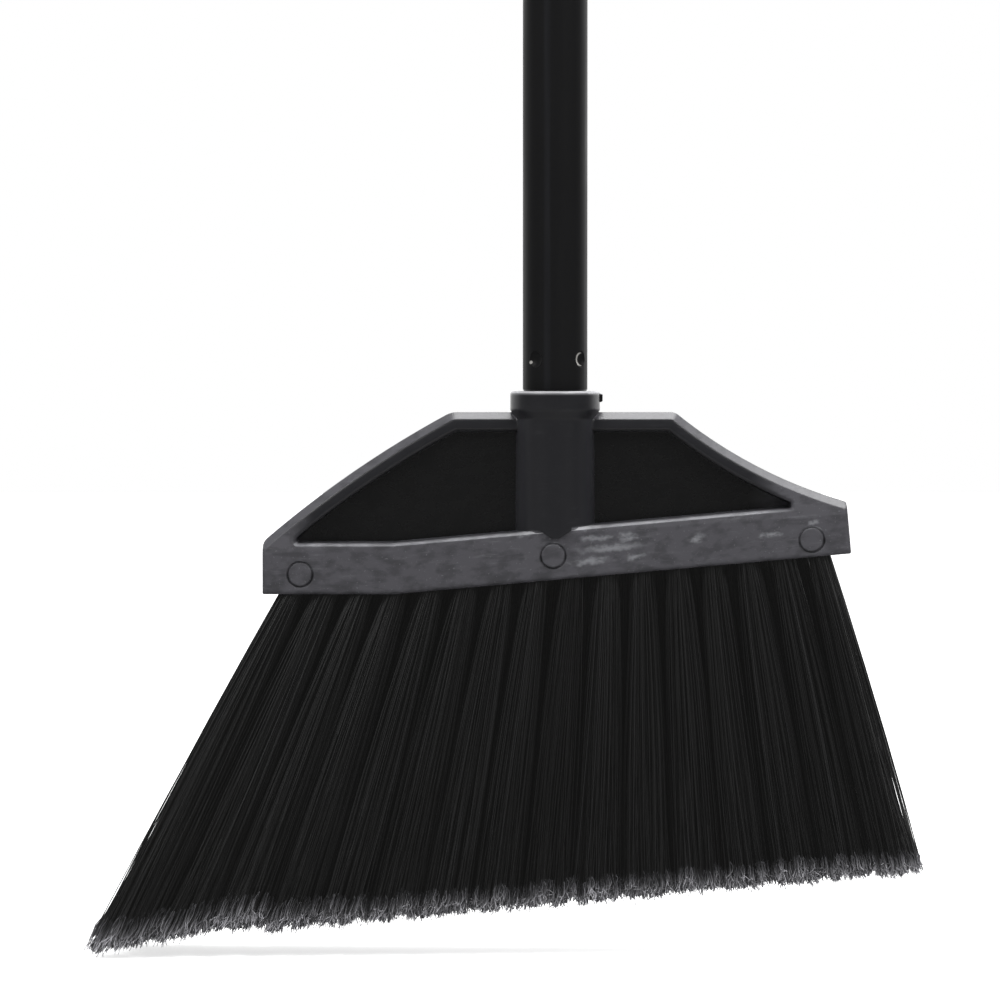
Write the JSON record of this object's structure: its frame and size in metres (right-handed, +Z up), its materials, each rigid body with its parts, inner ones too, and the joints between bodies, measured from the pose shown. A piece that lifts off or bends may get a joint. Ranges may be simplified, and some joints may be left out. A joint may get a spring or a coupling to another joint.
{
  "type": "lobby broom",
  "caption": "Angle-cut lobby broom: a black moulded head with a fan of trimmed bristle tufts, screwed onto a slim film-covered tube handle with a hanging eye.",
  "frame": {"origin": "on the handle's axis, at the lower edge of its film, half a millimetre above the socket's mouth", "axes": "+Z up along the handle, -Y to the front with the ejector marks, +X to the short side of the fan"},
  "size_m": [0.2834, 0.0446, 0.9182],
  "materials": {
    "block_plastic": "moulded, lightly scuffed",
    "bristle": "fine filaments with split grey tips",
    "anchor_steel": "flat wire",
    "tube_steel": "thin black coat",
    "film_plastic": "smooth wrapped film",
    "tip_plastic": "moulded",
    "cap_plastic": "moulded"
  },
  "bodies": {
    "handle": {"handle_tube": "tube_steel", "handle_film": "film_plastic", "hang_cap": "cap_plastic"},
    "tip": {"threaded_tip": "tip_plastic"},
    "head": {"block": "block_plastic", "tuft_anchors": "anchor_steel", "tuft_front_01": "bristle", "tuft_front_02": "bristle", "tuft_front_03": "bristle", "tuft_front_04": "bristle", "tuft_front_05": "bristle", "tuft_front_06": "bristle", "tuft_front_07": "bristle", "tuft_front_08": "bristle", "tuft_front_09": "bristle", "tuft_front_10": "bristle", "tuft_front_11": "bristle", "tuft_front_12": "bristle", "tuft_front_13": "bristle", "tuft_front_14": "bristle", "tuft_front_15": "bristle", "tuft_front_16": "bristle", "tuft_middle_01": "bristle", "tuft_middle_02": "bristle", "tuft_middle_03": "bristle", "tuft_middle_04": "bristle", "tuft_middle_05": "bristle", "tuft_middle_06": "bristle", "tuft_middle_07": "bristle", "tuft_middle_08": "bristle", "tuft_middle_09": "bristle", "tuft_middle_10": "bristle", "tuft_middle_11": "bristle", "tuft_middle_12": "bristle", "tuft_middle_13": "bristle", "tuft_middle_14": "bristle", "tuft_middle_15": "bristle", "tuft_back_01": "bristle", "tuft_back_02": "bristle", "tuft_back_03": "bristle", "tuft_back_04": "bristle", "tuft_back_05": "bristle", "tuft_back_06": "bristle", "tuft_back_07": "bristle", "tuft_back_08": "bristle", "tuft_back_09": "bristle", "tuft_back_10": "bristle", "tuft_back_11": "bristle", "tuft_back_12": "bristle", "tuft_back_13": "bristle", "tuft_back_14": "bristle", "tuft_back_15": "bristle", "tuft_back_16": "bristle"}
  },
  "joints": [
    {"name": "screw_turn", "type": "hinge", "parent": "handle", "child": "tip", "pos_m": [0, 0, 0], "axis": [0, 0, -1], "range_deg": [0, 1800]},
    {"name": "screw_travel", "type": "slide", "parent": "tip", "child": "head", "axis": [0, 0, -1], "range_m": [0, 0.0254]}
  ],
  "couplings": [
    {"joint": "screw_travel", "follows": "screw_turn", "m_per_rad": 0.0008085}
  ]
}
